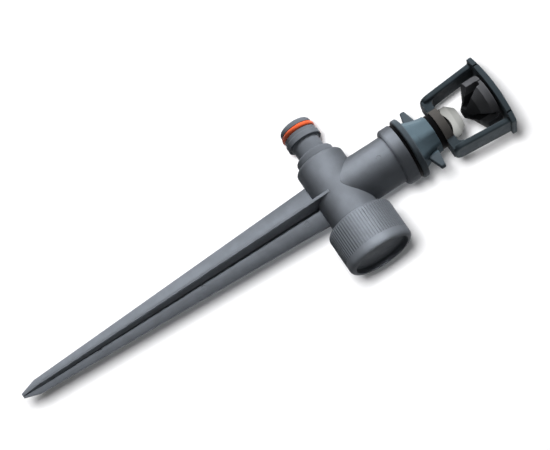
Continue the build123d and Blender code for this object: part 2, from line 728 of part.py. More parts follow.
def make_swivel():
    """Inverted cone with two deeper flared wings and four off-centre water channels."""
    cone = swivel_profile([(SWIVEL_CORE_OD / 2, SWIVEL_CORE_RISE)])
    flare = swivel_profile(
        [(SWIVEL_FLARE_OD / 2, SWIVEL_FLARE_RISE), (SWIVEL_OD / 2, SWIVEL_WING_RISE)]
    )
    spread = SWIVEL_OD * math.tan(math.radians(SWIVEL_WING_SPAN / 2))
    sector = Polygon((0, 0), (SWIVEL_OD, -spread), (SWIVEL_OD, spread), align=None)
    wedge = Pos(0, 0, SWIVEL_TIP) * extrude(sector, SWIVEL_HEIGHT)
    swivel = cone
    for turn in (0, 180):
        swivel += flare & Rot(0, 0, turn) * wedge
    channel_outline = [
        (-SLOT_WIDTH / 2, SWIVEL_TIP, 0),
        (SLOT_WIDTH / 2, SWIVEL_TIP, 0),
        (SLOT_WIDTH / 2, SWIVEL_TOP - SWIVEL_ROOF, SLOT_CORNER),
        (-SLOT_WIDTH / 2, SWIVEL_TOP - SWIVEL_ROOF, SLOT_CORNER),
    ]
    channel = extrude(Plane.YZ * rounded_face(channel_outline), SWIVEL_OD)
    channel = Pos(SLOT_INNER_RADIUS, SLOT_OFFSET, 0) * channel
    for index in range(SLOT_COUNT):
        swivel -= Rot(0, 0, 45 + index * 360 / SLOT_COUNT) * channel
    swivel -= plug_along_z(SPINDLE_OD / 2 + PRESS_GAP, SWIVEL_TOP - SPINDLE_SEAT, SWIVEL_TOP)
    return Rot(0, 0, SWIVEL_REST_TURN) * swivel


def make_spindle():
    """Steel spindle pressed into the swivel, turning in the bush."""
    low = SWIVEL_TOP - SPINDLE_SEAT
    high = CLIP_FLOOR + CLIP_GAP + CLIP_THICKNESS + SPINDLE_STAND
    radius = SPINDLE_OD / 2
    return turned_about_z([(0, low, 0), (radius, low, 0), (radius, high, SPINDLE_CORNER), (0, high, 0)])


def make_thrust_washer():
    """Slippery washer between the swivel and the bush flange."""
    low = SWIVEL_TOP
    return ring_about_z(THRUST_OD / 2, SPINDLE_OD / 2 + PRESS_GAP, low, BUSH_LOW - CLIP_GAP)


def make_spindle_clip():
    """Push-on ring on the spindle's upper end that carries the swivel's weight."""
    low = CLIP_FLOOR + CLIP_GAP
    return ring_about_z(CLIP_OD / 2, SPINDLE_OD / 2 + PRESS_GAP, low, low + CLIP_THICKNESS)


PIECES = {
    "spike_fins": make_spike_fins,
    "barrel": make_barrel,
    "outlet_spigot": make_outlet_spigot,
    "riser": make_riser,
    "hose_nipple": make_hose_nipple,
    "inlet_o_ring": make_inlet_o_ring,
    "end_cap": make_end_cap,
    "end_cap_seal": make_end_cap_seal,
    "head_seal": make_head_seal,
    "head_stub": make_head_stub,
    "head_base": make_head_base,
    "yoke_ring": make_yoke_ring,
    "nozzle_stem": make_nozzle_stem,
    "nozzle": make_nozzle,
    "nozzle_o_ring": make_nozzle_o_ring,
    "yoke": make_yoke,
    "yoke_top": make_yoke_top,
    "bearing_bush": make_bearing_bush,
    "swivel": make_swivel,
    "swivel_spindle": make_spindle,
    "thrust_washer": make_thrust_washer,
    "spindle_clip": make_spindle_clip,
}


def main():
    """Build every piece and write each to its own file."""
    os.makedirs("parts", exist_ok=True)
    for name, make_piece in PIECES.items():
        piece = make_piece()
        export_step(piece, os.path.join("parts", name + ".step"))
        print(name, round(piece.volume, 1), len(piece.solids()))


main()
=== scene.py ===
"""Looks of the garden spike sprinkler: its finishes, the marks of its moulding, the studio and the camera.

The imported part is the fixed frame, in metres: +Z up the spike axis, +X along the barrel to the end cap.
"""

import logging
import math
from dataclasses import dataclass, replace
from enum import Enum

import bpy
from mathutils import Matrix, Vector

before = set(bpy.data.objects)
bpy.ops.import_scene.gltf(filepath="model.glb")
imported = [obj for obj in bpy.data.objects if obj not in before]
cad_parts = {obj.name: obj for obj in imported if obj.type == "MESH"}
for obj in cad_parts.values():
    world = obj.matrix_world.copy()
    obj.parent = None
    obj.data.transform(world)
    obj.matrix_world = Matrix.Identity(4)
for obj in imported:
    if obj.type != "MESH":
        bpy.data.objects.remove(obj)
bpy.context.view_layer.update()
MM = 0.001

# Sockets of a colour mix: its two colours and its result come after those for numbers and vectors.
MIX_COLOURS = (6, 7)
MIX_RESULT = 2

# Rays that each traced node sends out, and where its share of edge or hollow starts and is full.
TRACE_SAMPLES = 6
EDGE_LEAN = (0.985, 0.78)
HOLLOW_OPENNESS = (0.82, 0.25)

# Height limits of a zone that has none, well below and above the part.
FAR_BELOW = -1.0
FAR_ABOVE = 1.0

WHITE = (1.0, 1.0, 1.0, 1.0)
WHITE_TABLE = "white_table"

log = logging.getLogger("spike_sprinkler")


class Axis(Enum):
    """Direction along which a finish is drawn out."""

    ROUND = (1.0, 1.0, 1.0)
    ALONG_X = (0.12, 1.0, 1.0)
    ALONG_Z = (1.0, 1.0, 0.12)


class Reach(Enum):
    """Whether a lamp lights only the named things, or all but them."""

    ONLY = "INCLUDE"
    ALL_BUT = "EXCLUDE"


class Side(Enum):
    """Which side of a distance from the spike axis a zone lies on."""

    INSIDE = -1.0
    OUTSIDE = 1.0


@dataclass(frozen=True)
class Tone:
    """A colour as it would be written for a screen, each channel from 0 to 255."""

    red: float
    green: float
    blue: float

    def linear(self) -> tuple[float, float, float, float]:
        """Colour in the renderer's linear units, with full alpha."""
        shares = [channel / 255 for channel in (self.red, self.green, self.blue)]
        light = [s / 12.92 if s <= 0.04045 else ((s + 0.055) / 1.055) ** 2.4 for s in shares]
        return (light[0], light[1], light[2], 1.0)

    def times(self, factor: float) -> "Tone":
        """The same colour, lighter or darker by a factor."""
        return Tone(*(min(255.0, channel * factor) for channel in (self.red, self.green, self.blue)))


@dataclass(frozen=True)
class Zone:
    """Part of a moulding that takes another tone, as its own colour or as painted light and shade, by its
    distance from the spike axis and its height.
    """

    tone: Tone
    radius: float
    side: Side
    border: float = 0.15 * MM
    low: float = FAR_BELOW
    top: float = FAR_ABOVE


class NodeBoard:
    """One material's node tree, with short calls for the nodes that the finishes share."""

    def __init__(self, name: str) -> None:
        """Starts an empty tree with its output and its surface shader.

        Args:
            name: name of the material.
        """
        self.material = bpy.data.materials.new(name)
        self.material.use_nodes = True
        self.tree = self.material.node_tree
        self.tree.nodes.clear()
        self.output = self.add("ShaderNodeOutputMaterial")
        self.surface = self.add("ShaderNodeBsdfPrincipled")
        self.link(self.surface.outputs["BSDF"], self.output.inputs["Surface"])
        self.place = self.add("ShaderNodeTexCoord").outputs["Object"]

    def add(self, kind: str) -> bpy.types.Node:
        """Adds a node of the given kind."""
        return self.tree.nodes.new(kind)

    def link(self, source: bpy.types.NodeSocket, target: bpy.types.NodeSocket) -> None:
        """Joins an output to an input."""
        self.tree.links.new(source, target)

    def stretched(self, direction: Axis) -> bpy.types.NodeSocket:
        """Object coordinates drawn out along a direction.

        Args:
            direction: the way in which patterns run.
        Returns:
            The socket with the stretched coordinates.
        """
        mapping = self.add("ShaderNodeMapping")
        mapping.inputs["Scale"].default_value = direction.value
        self.link(self.place, mapping.inputs["Vector"])
        return mapping.outputs["Vector"]

    def noise(self, per_metre: float, detail: float, direction: Axis = Axis.ROUND) -> bpy.types.NodeSocket:
        """Soft noise with so many features in a metre.

        Args:
            per_metre: features in a metre.
            detail: octaves of finer noise.
            direction: the way in which the noise is drawn out.
        Returns:
            The noise value, from 0 to 1.
        """
        node = self.add("ShaderNodeTexNoise")
        node.inputs["Scale"].default_value = per_metre
        node.inputs["Detail"].default_value = detail
        self.link(self.stretched(direction), node.inputs["Vector"])
        return node.outputs["Fac"]

    def span(
        self, value: bpy.types.NodeSocket, low: float, high: float, to_low: float, to_high: float
    ) -> bpy.types.NodeSocket:
        """Maps a value from one range onto another, clamped.

        Args:
            value: the value to map.
            low: value that gives to_low.
            high: value that gives to_high.
            to_low: result at low.
            to_high: result at high.
        Returns:
            The mapped value.
        """
        node = self.add("ShaderNodeMapRange")
        node.interpolation_type = "SMOOTHSTEP"
        self.link(value, node.inputs["Value"])
        ends = {"From Min": low, "From Max": high, "To Min": to_low, "To Max": to_high}
        for name, number in ends.items():
            node.inputs[name].default_value = number
        return node.outputs["Result"]

    def blend(
        self,
        share: bpy.types.NodeSocket,
        first: Tone | bpy.types.NodeSocket,
        second: Tone | bpy.types.NodeSocket,
    ) -> bpy.types.NodeSocket:
        """Mixes a colour with a second one.

        Args:
            share: how much of the second colour shows, from 0 to 1.
            first: the colour that shows where share is 0.
            second: the colour that shows where share is 1.
        Returns:
            The mixed colour.
        """
        node = self.add("ShaderNodeMix")
        node.data_type = "RGBA"
        self.link(share, node.inputs["Factor"])
        for place, colour in zip(MIX_COLOURS, (first, second)):
            if isinstance(colour, Tone):
                node.inputs[place].default_value = colour.linear()
            else:
                self.link(colour, node.inputs[place])
        return node.outputs[MIX_RESULT]

    def softened_edges(self, radius: float) -> bpy.types.NodeSocket:
        """Surface normal with every sharp edge eased by a small radius."""
        node = self.add("ShaderNodeBevel")
        node.samples = TRACE_SAMPLES
        node.inputs["Radius"].default_value = radius
        return node.outputs["Normal"]

    def edge_share(self, eased: bpy.types.NodeSocket) -> bpy.types.NodeSocket:
        """Share of edge at a point, from how far the eased normal leans from the true one, where light is
        painted.

        Args:
            eased: normal with its edges eased.
        Returns:
            0 on a plain face, rising to 1 on an edge.
        """
        true_normal = self.add("ShaderNodeNewGeometry").outputs["Normal"]
        dot = self.add("ShaderNodeVectorMath")
        dot.operation = "DOT_PRODUCT"
        self.link(eased, dot.inputs[0])
        self.link(true_normal, dot.inputs[1])
        return self.span(dot.outputs["Value"], *EDGE_LEAN, 0.0, 1.0)

    def hollow_shade_share(self, reach: float) -> bpy.types.NodeSocket:
        """Share of hollow at a point, from how much nearby surface closes it in, where shade is painted.

        Args:
            reach: how far the nearby surface counts, in metres.
        Returns:
            0 in the open, rising to 1 deep in a corner.
        """
        node = self.add("ShaderNodeAmbientOcclusion")
        node.samples = TRACE_SAMPLES
        node.inputs["Distance"].default_value = reach
        return self.span(node.outputs["AO"], *HOLLOW_OPENNESS, 0.0, 1.0)

    def place_along(self, axis: str) -> bpy.types.NodeSocket:
        """One of the object coordinates, named by its letter."""
        node = self.add("ShaderNodeSeparateXYZ")
        self.link(self.place, node.inputs["Vector"])
        return node.outputs[axis]

    def spike_distance(self) -> bpy.types.NodeSocket:
        """Distance from the spike axis, in metres."""
        flat = self.add("ShaderNodeVectorMath")
        flat.operation = "MULTIPLY"
        flat.inputs[1].default_value = (1.0, 1.0, 0.0)
        self.link(self.place, flat.inputs[0])
        length = self.add("ShaderNodeVectorMath")
        length.operation = "LENGTH"
        self.link(flat.outputs["Vector"], length.inputs[0])
        return length.outputs["Value"]

    def zone_share(self, zone: Zone) -> bpy.types.NodeSocket:
        """Share of a zone at a point, with a soft border.

        Args:
            zone: the zone.
        Returns:
            1 inside the zone, 0 elsewhere.
        """
        border = zone.border * zone.side.value
        around = self.span(self.spike_distance(), zone.radius - border, zone.radius + border, 0.0, 1.0)
        height = self.place_along("Z")
        above = self.span(height, zone.low - zone.border, zone.low, 0.0, 1.0)
        below = self.span(height, zone.top, zone.top + zone.border, 1.0, 0.0)
        return self.product(around, self.product(above, below))

    def product(self, first: bpy.types.NodeSocket, second: bpy.types.NodeSocket) -> bpy.types.NodeSocket:
        """Two shares multiplied."""
        node = self.add("ShaderNodeMath")
        node.operation = "MULTIPLY"
        self.link(first, node.inputs[0])
        self.link(second, node.inputs[1])
        return node.outputs["Value"]

    def seam_height(self, half_width: float) -> bpy.types.NodeSocket:
        """Height of the thin ridge that the two halves of the mould leave where they meet, at Y = 0.

        Args:
            half_width: half the width of the ridge, in metres.
        Returns:
            1 on the seam, 0 beside it.
        """
        distance = self.add("ShaderNodeMath")
        distance.operation = "ABSOLUTE"
        self.link(self.place_along("Y"), distance.inputs[0])
        return self.span(distance.outputs["Value"], 0.0, half_width, 1.0, 0.0)

    def bumped(
        self, height: bpy.types.NodeSocket, depth: float, normal: bpy.types.NodeSocket
    ) -> bpy.types.NodeSocket:
        """Normal tilted by a height pattern.

        Args:
            height: the pattern, from 0 to 1.
            depth: height in metres that the pattern stands for.
            normal: the normal that the pattern lies on.
        Returns:
            The tilted normal.
        """
        node = self.add("ShaderNodeBump")
        node.inputs["Strength"].default_value = 1.0
        node.inputs["Distance"].default_value = depth
        self.link(height, node.inputs["Height"])
        self.link(normal, node.inputs["Normal"])
        return node.outputs["Normal"]

    def set_numbers(self, **numbers: float) -> None:
        """Sets plain numbers on the surface shader's own sockets, underscores standing for spaces."""
        for name, number in numbers.items():
            self.surface.inputs[name.replace("_", " ")].default_value = number


@dataclass(frozen=True)
class MouldedPlastic:
    """Satin moulded plastic with flow marks, a fine grain, painted highlights on its edges and painted
    shade in its corners.
    """

    name: str
    tone: Tone
    mottle: float = 0.03
    mottle_per_metre: float = 140
    streaks_per_metre: float = 260
    streak_share: float = 0.35
    flow: Axis = Axis.ALONG_Z
    rough_low: float = 0.50
    rough_high: float = 0.62
    rough_per_metre: float = 420
    grain_depth: float = 0.010 * MM
    grain_per_metre: float = 5200
    wave_depth: float = 0.015 * MM
    waves_per_metre: float = 110
    edge_radius: float = 0.30 * MM
    # Painted light and shade: the first gain paints edges lighter as highlights (darker as shade where it
    # is below 1), the second paints hollows darker as shade.
    edge_light_gain: float = 1.16
    hollow_shade_gain: float = 0.62
    hollow_reach: float = 2.5 * MM
    seam_depth: float = 0.05 * MM
    seam_half_width: float = 0.12 * MM
    shine: float = 0.08
    zones: tuple[Zone, ...] = ()

    def material(self) -> bpy.types.Material:
        """Builds the finish as a node material."""
        board = NodeBoard(self.name)
        eased = board.softened_edges(self.edge_radius)
        edge_light = board.edge_share(eased)
        hollow = board.hollow_shade_share(self.hollow_reach)
        colour = self.tinted(board, self.tone, edge_light, hollow)
        for zone in self.zones:
            painted = self.tinted(board, zone.tone, edge_light, hollow)
            colour = board.blend(board.zone_share(zone), colour, painted)
        board.link(colour, board.surface.inputs["Base Color"])
        rough = board.span(board.noise(self.rough_per_metre, 3), 0.3, 0.7, self.rough_low, self.rough_high)
        board.link(rough, board.surface.inputs["Roughness"])
        normal = board.bumped(board.seam_height(self.seam_half_width), self.seam_depth, eased)
        normal = board.bumped(board.noise(self.waves_per_metre, 1), self.wave_depth, normal)
        normal = board.bumped(board.noise(self.grain_per_metre, 2), self.grain_depth, normal)
        board.link(normal, board.surface.inputs["Normal"])
        board.set_numbers(IOR=1.49, Specular_IOR_Level=self.shine)
        return board.material

    def tinted(
        self, board: NodeBoard, tone: Tone, edge_light: bpy.types.NodeSocket, hollow: bpy.types.NodeSocket
    ) -> bpy.types.NodeSocket:
        """Colour of a tone with its flow marks, painted highlights on its edges and painted shade in its
        hollows.

        Args:
            board: the material's node tree.
            tone: the plain tone.
            edge_light: share of edge at a point, where a highlight is painted.
            hollow: share of hollow at a point, where shade is painted.
        Returns:
            The colour.
        """
        mottled = board.span(board.noise(self.mottle_per_metre, 3), 0.34, 0.66, 0.0, 1.0)
        colour = board.blend(mottled, tone.times(1 - self.mottle), tone.times(1 + self.mottle))
        flow_marks = board.noise(self.streaks_per_metre, 2, self.flow)
        streaks = board.span(flow_marks, 0.55, 0.80, 0.0, self.streak_share)
        colour = board.blend(streaks, colour, tone.times(1 - 2 * self.mottle))
        # Painted highlight along the edges, then painted shade in the hollows.
        colour = board.blend(edge_light, colour, tone.times(self.edge_light_gain))
        return board.blend(hollow, colour, tone.times(self.hollow_shade_gain))


@dataclass(frozen=True)
class MouldedRubber:
    """Dull moulded rubber with a bloom on it and painted shade in its hollows."""

    name: str
    tone: Tone
    bloom: Tone
    bloom_share: float = 0.35
    blooms_per_metre: float = 300
    rough_low: float = 0.42
    rough_high: float = 0.60
    rough_per_metre: float = 700
    grain_depth: float = 0.008 * MM
    grain_per_metre: float = 4200
    edge_radius: float = 0.15 * MM
    hollow_shade_gain: float = 0.7
    hollow_reach: float = 1.2 * MM
    shine: float = 0.4

    def material(self) -> bpy.types.Material:
        """Builds the finish as a node material."""
        board = NodeBoard(self.name)
        bloom = board.span(board.noise(self.blooms_per_metre, 3), 0.45, 0.75, 0.0, self.bloom_share)
        colour = board.blend(bloom, self.tone, self.bloom)
        # Painted shade in the hollows.
        hollow = board.hollow_shade_share(self.hollow_reach)
        colour = board.blend(hollow, colour, self.tone.times(self.hollow_shade_gain))
        board.link(colour, board.surface.inputs["Base Color"])
        rough = board.span(board.noise(self.rough_per_metre, 2), 0.3, 0.7, self.rough_low, self.rough_high)
        board.link(rough, board.surface.inputs["Roughness"])
        eased = board.softened_edges(self.edge_radius)
        normal = board.bumped(board.noise(self.grain_per_metre, 2), self.grain_depth, eased)
        board.link(normal, board.surface.inputs["Normal"])
        board.set_numbers(IOR=1.52, Specular_IOR_Level=self.shine)
        return board.material


@dataclass(frozen=True)
class Acetal:
    """White slippery plastic that lets a little light in, with turning marks."""

    name: str
    tone: Tone
    mottle_per_metre: float = 500
    marks_per_metre: float = 2600
    rough_low: float = 0.24
    rough_high: float = 0.36
    grain_depth: float = 0.004 * MM
    grain_per_metre: float = 6000
    edge_radius: float = 0.12 * MM
    hollow_shade_gain: float = 0.75
    hollow_reach: float = 0.8 * MM
    light_depth: float = 0.4 * MM

    def material(self) -> bpy.types.Material:
        """Builds the finish as a node material."""
        board = NodeBoard(self.name)
        mottled = board.span(board.noise(self.mottle_per_metre, 2), 0.35, 0.65, 0.0, 1.0)
        colour = board.blend(mottled, self.tone.times(0.96), self.tone.times(1.02))
        # Painted shade in the hollows.
        hollow = board.hollow_shade_share(self.hollow_reach)
        colour = board.blend(hollow, colour, self.tone.times(self.hollow_shade_gain))
        board.link(colour, board.surface.inputs["Base Color"])
        marks = board.noise(self.marks_per_metre, 1, Axis.ALONG_X)
        rough = board.span(marks, 0.3, 0.7, self.rough_low, self.rough_high)
        board.link(rough, board.surface.inputs["Roughness"])
        eased = board.softened_edges(self.edge_radius)
        normal = board.bumped(board.noise(self.grain_per_metre, 1), self.grain_depth, eased)
        board.link(normal, board.surface.inputs["Normal"])
        board.set_numbers(IOR=1.48, Subsurface_Weight=0.15, Subsurface_Scale=self.light_depth)
        return board.material


@dataclass(frozen=True)
class DrawnSteel:
    """Drawn stainless steel with fine lines along its length."""

    name: str
    tone: Tone
    lines_per_metre: float = 9000
    line_depth: float = 0.003 * MM
    rough_low: float = 0.22
    rough_high: float = 0.38
    edge_radius: float = 0.1 * MM

    def material(self) -> bpy.types.Material:
        """Builds the finish as a node material."""
        board = NodeBoard(self.name)
        lines = board.noise(self.lines_per_metre, 2, Axis.ALONG_Z)
        share = board.span(lines, 0.3, 0.7, 0.0, 1.0)
        colour = board.blend(share, self.tone.times(0.92), self.tone.times(1.05))
        board.link(colour, board.surface.inputs["Base Color"])
        rough = board.span(lines, 0.3, 0.7, self.rough_low, self.rough_high)
        board.link(rough, board.surface.inputs["Roughness"])
        normal = board.bumped(lines, self.line_depth, board.softened_edges(self.edge_radius))
        board.link(normal, board.surface.inputs["Normal"])
        board.set_numbers(Metallic=1.0)
        return board.material


Finish = MouldedPlastic | MouldedRubber | Acetal | DrawnSteel

GREY_PLASTIC = MouldedPlastic("grey_plastic", Tone(115, 120, 127))
# The cap's ribs get less painted shade in their grooves and fainter painted highlights on their edges.
RIBBED_PLASTIC = replace(GREY_PLASTIC, name="grey_plastic_ribbed", hollow_shade_gain=0.85, edge_light_gain=1.05)
# On the riser, whose saddle meets the barrel, edges are painted darker: painted shade along that crease.
SADDLED_PLASTIC = replace(GREY_PLASTIC, name="grey_plastic_saddled", edge_radius=0.06 * MM, edge_light_gain=0.9)
# A darker tone for the flange's own plastic; outside 13.4 mm it also covers the outer wings, and above 66
# mm the wings from 11.9 mm, as painted shade.
FLANGE_AND_WING_SHADE_TONE = Tone(74, 82, 88)
BASE_PLASTIC = MouldedPlastic(
    "base_plastic",
    Tone(86, 102, 111),
    zones=(
        Zone(FLANGE_AND_WING_SHADE_TONE, 13.4 * MM, Side.OUTSIDE, border=0.8 * MM),
        Zone(FLANGE_AND_WING_SHADE_TONE, 11.9 * MM, Side.OUTSIDE, border=0.3 * MM, low=66.0 * MM),
    ),
)
# The yoke's edges are painted much lighter, as highlights; its hub is its own browner tone.
YOKE_PLASTIC = MouldedPlastic(
    "yoke_plastic",
    Tone(56, 64, 69),
    edge_light_gain=1.35,
    zones=(Zone(Tone(78, 76, 74), 10.2 * MM, Side.INSIDE, top=82.3 * MM),),
)
# The swivel's edges are painted much lighter, as highlights, and its vanes outside 8.3 mm are painted
# paler, as light falling on the same dark plastic.
SWIVEL_PLASTIC = MouldedPlastic(
    "swivel_plastic",
    Tone(38, 39, 41),
    edge_light_gain=1.6,
    mottle=0.05,
    zones=(Zone(Tone(80, 81, 84), 8.3 * MM, Side.OUTSIDE, border=0.3 * MM),),
)
# The nozzle's hollows get strong painted shade, and the core behind its arches is painted near black, as
# the shadow in them.
NOZZLE_PLASTIC = MouldedPlastic(
    "nozzle_plastic",
    Tone(168, 169, 166),
    mottle=0.02,
    edge_light_gain=1.05,
    hollow_shade_gain=0.4,
    hollow_reach=1.6 * MM,
    zones=(Zone(Tone(30, 30, 30), 6.8 * MM, Side.INSIDE, low=82.0 * MM, top=83.6 * MM),),
)
BLACK_RUBBER = MouldedRubber("black_rubber", Tone(9, 9, 10), Tone(18, 18, 19), bloom_share=0.25, shine=0.03)
ORANGE_RUBBER = MouldedRubber("orange_rubber", Tone(226, 96, 54), Tone(236, 120, 78))
WHITE_ACETAL = Acetal("acetal", Tone(226, 226, 220))
SPINDLE_STEEL = DrawnSteel("steel", Tone(176, 178, 180))


class Wardrobe:
    """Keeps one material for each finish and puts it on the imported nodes."""

    def __init__(self) -> None:
        """Starts with no material made."""
        self.made: dict[str, bpy.types.Material] = {}

    def material(self, finish: Finish) -> bpy.types.Material:
        """The finish's material, made the first time that it is asked for."""
        if finish.name not in self.made:
            self.made[finish.name] = finish.material()
        return self.made[finish.name]

    def dress(self, piece: bpy.types.Object, finish: Finish) -> None:
        """Gives a piece its finish.

        Args:
            piece: the mesh object.
            finish: what it is made of.
        """
        piece.data.materials.clear()
        piece.data.materials.append(self.material(finish))
        log.info("%s is finished in %s", piece.name, finish.name)

    def dress_node(self, node: str, finish: Finish) -> None:
        """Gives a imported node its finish."""
        self.dress(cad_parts[node], finish)


@dataclass
class SpikeAndTee:
    """The grey moulding: fins, barrel, spigot, riser and hose nipple, with the nipple's ring."""

    wardrobe: Wardrobe

    def dress(self) -> None:
        """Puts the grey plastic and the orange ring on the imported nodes."""
        for node in ("spike_fins", "barrel", "outlet_spigot", "hose_nipple"):
            self.wardrobe.dress_node(node, GREY_PLASTIC)
        self.wardrobe.dress_node("riser", SADDLED_PLASTIC)
        self.wardrobe.dress_node("inlet_o_ring", ORANGE_RUBBER)


@dataclass
class EndCap:
    """The ribbed screw cap and its washer."""

    wardrobe: Wardrobe

    def dress(self) -> None:
        """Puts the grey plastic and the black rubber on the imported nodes."""
        self.wardrobe.dress_node("end_cap", RIBBED_PLASTIC)
        self.wardrobe.dress_node("end_cap_seal", BLACK_RUBBER)


@dataclass
class Head:
    """The winged base, the nozzle, the yoke and the swivel that turns in it."""

    wardrobe: Wardrobe

    def dress(self) -> None:
        """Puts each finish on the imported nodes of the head."""
        for node in ("head_seal", "yoke_ring", "nozzle_o_ring"):
            self.wardrobe.dress_node(node, BLACK_RUBBER)
        for node in ("yoke", "yoke_top"):
            self.wardrobe.dress_node(node, YOKE_PLASTIC)
        for node in ("bearing_bush", "thrust_washer"):
            self.wardrobe.dress_node(node, WHITE_ACETAL)
        for node in ("swivel_spindle", "spindle_clip"):
            self.wardrobe.dress_node(node, SPINDLE_STEEL)
        for node in ("head_stub", "head_base"):
            self.wardrobe.dress_node(node, BASE_PLASTIC)
        for node in ("nozzle_stem", "nozzle"):
            self.wardrobe.dress_node(node, NOZZLE_PLASTIC)
        self.wardrobe.dress_node("swivel", SWIVEL_PLASTIC)


@dataclass
class PhotoView:
    """The camera's place, and the directions of its picture seen from it."""

    azimuth: float = 19.7
    elevation: float = -3.8
    roll: float = 57.33
    distance: float = 1.05
    metres_per_pixel: float = 0.49 * MM
    aim_right: float = -4.0 * MM
    aim_up: float = -35.15 * MM
    barrel_height: float = 20.15 * MM
    picture_width: int = 550
    sensor: float = 36.0
    nearest: float = 0.05
    farthest: float = 20.0

    def back(self) -> Vector:
        """Direction from the part to the camera."""
        a, e = math.radians(self.azimuth), math.radians(self.elevation)
        return Vector((math.sin(a) * math.cos(e), -math.cos(a) * math.cos(e), math.sin(e)))

    def level_right(self) -> Vector:
        """Level direction to the right of the picture before the camera is rolled."""
        a = math.radians(self.azimuth)
        return Vector((math.cos(a), math.sin(a), 0.0))

    def level_up(self) -> Vector:
        """Upward direction of the picture before the camera is rolled."""
        return self.back().cross(self.level_right())

    def right(self) -> Vector:
        """Direction to the right of the rolled picture."""
        r = math.radians(self.roll)
        return self.level_right() * math.cos(r) + self.level_up() * math.sin(r)

    def up(self) -> Vector:
        """Upward direction of the rolled picture."""
        r = math.radians(self.roll)
        return self.level_up() * math.cos(r) - self.level_right() * math.sin(r)

    def aim(self) -> Vector:
        """Point at the middle of the picture."""
        start = Vector((0.0, 0.0, self.barrel_height))
        return start + self.level_right() * self.aim_right + self.level_up() * self.aim_up

    def build(self) -> None:
        """Makes the camera and gives it to the scene."""
        data = bpy.data.cameras.new("photo_camera")
        data.sensor_width = self.sensor
        data.lens = self.distance / self.metres_per_pixel * self.sensor / self.picture_width
        data.clip_start = self.nearest
        data.clip_end = self.farthest
        camera = bpy.data.objects.new("photo_camera", data)
        bpy.context.scene.collection.objects.link(camera)
        turn = Matrix((self.right(), self.up(), self.back())).transposed()
        place = self.aim() + self.back() * self.distance
        camera.matrix_world = Matrix.Translation(place) @ turn.to_4x4()
        bpy.context.scene.camera = camera
        log.info("camera with a %.0f mm lens at %s", data.lens, tuple(round(x, 3) for x in place))


def table_or_node(name: str) -> bpy.types.Object:
    """The studio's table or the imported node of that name."""
    return bpy.data.objects[name] if name == WHITE_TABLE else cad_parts[name]


def lit_things(name: str, reach: Reach, things: tuple[str, ...]) -> bpy.types.Collection:
    """Collection that tells a lamp what to light.

    Args:
        name: the lamp's name.
        reach: whether the things are the ones lit or the ones left out.
        things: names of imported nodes, or the table's.
    Returns:
        The collection of the named things, each marked.
    """
    lit = bpy.data.collections.new(name + "_reach")
    for thing in things:
        lit.objects.link(table_or_node(thing))
    for entry in lit.collection_objects:
        entry.light_linking.link_state = reach.value
    return lit


def hang_lamp(data: bpy.types.Light, place: Vector, turn: Matrix, lit: bpy.types.Collection) -> None:
    """Hangs a lamp in the studio, out of the camera's sight and without a glare on flat faces.

    Args:
        data: the lamp's light.
        place: where it hangs.
        turn: how it is turned.
        lit: what it lights.
    """
    lamp = bpy.data.objects.new(data.name, data)
    bpy.context.scene.collection.objects.link(lamp)
    lamp.matrix_world = Matrix.Translation(place) @ turn.to_4x4()
    lamp.visible_camera = False
    lamp.visible_glossy = False
    lamp.light_linking.receiver_collection = lit
    log.info("lamp %s of %.3g W", data.name, data.energy)


@dataclass(frozen=True)
class Lamp:
    """A square soft lamp: its place from the aim point in the picture's directions, and what it lights."""

    name: str
    right: float
    up: float
    back: float
    size: float
    power: float
    reach: Reach
    things: tuple[str, ...]

    def build(self, view: PhotoView) -> None:
        """Adds the lamp, aimed at the part, and limits what it lights.

        Args:
            view: the picture that the lamp's place is given in.
        """
        data = bpy.data.lights.new(self.name, "AREA")
        data.shape = "SQUARE"
        data.size = self.size
        data.energy = self.power
        offset = view.right() * self.right + view.up() * self.up + view.back() * self.back
        turn = (-offset).to_track_quat("-Z", "Y").to_matrix()
        hang_lamp(data, view.aim() + offset, turn, lit_things(self.name, self.reach, self.things))


@dataclass(frozen=True)
class StripLamp:
    """A long narrow lamp with a grid, close in front of the part, that lights a band of it.

    It is upright unless it leans, and is aimed level. Left of the spike axis is the hose nipple's side.
    """

    name: str
    left: float
    front: float
    height: float
    aim_left: float
    width: float
    length: float
    power: float
    spread_degrees: float
    things: tuple[str, ...]
    lean_degrees: float = 0.0

    def build(self) -> None:
        """Adds the lamp and limits what it lights."""
        data = bpy.data.lights.new(self.name, "AREA")
        data.shape = "RECTANGLE"
        data.size = self.width
        data.size_y = self.length
        data.energy = self.power
        data.spread = math.radians(self.spread_degrees)
        back = Vector((self.aim_left - self.left, -self.front, 0.0)).normalized()
        upright = Vector((0.0, 0.0, 1.0))
        turn = Matrix((upright.cross(back), upright, back)).transposed()
        lean = Matrix.Rotation(math.radians(self.lean_degrees), 3, "Z")
        place = Vector((-self.left, -self.front, self.height))
        hang_lamp(data, place, turn @ lean, lit_things(self.name, Reach.ONLY, self.things))


FINS = ("spike_fins",)
RISER = ("riser",)
TEE = ("barrel", "outlet_spigot")
NIPPLE = ("hose_nipple",)
CAP = ("end_cap",)
NOZZLE = ("nozzle",)
YOKE = ("yoke", "yoke_top")
OWN_KEY = (*FINS, *RISER, *TEE, *NIPPLE, *CAP, *NOZZLE)

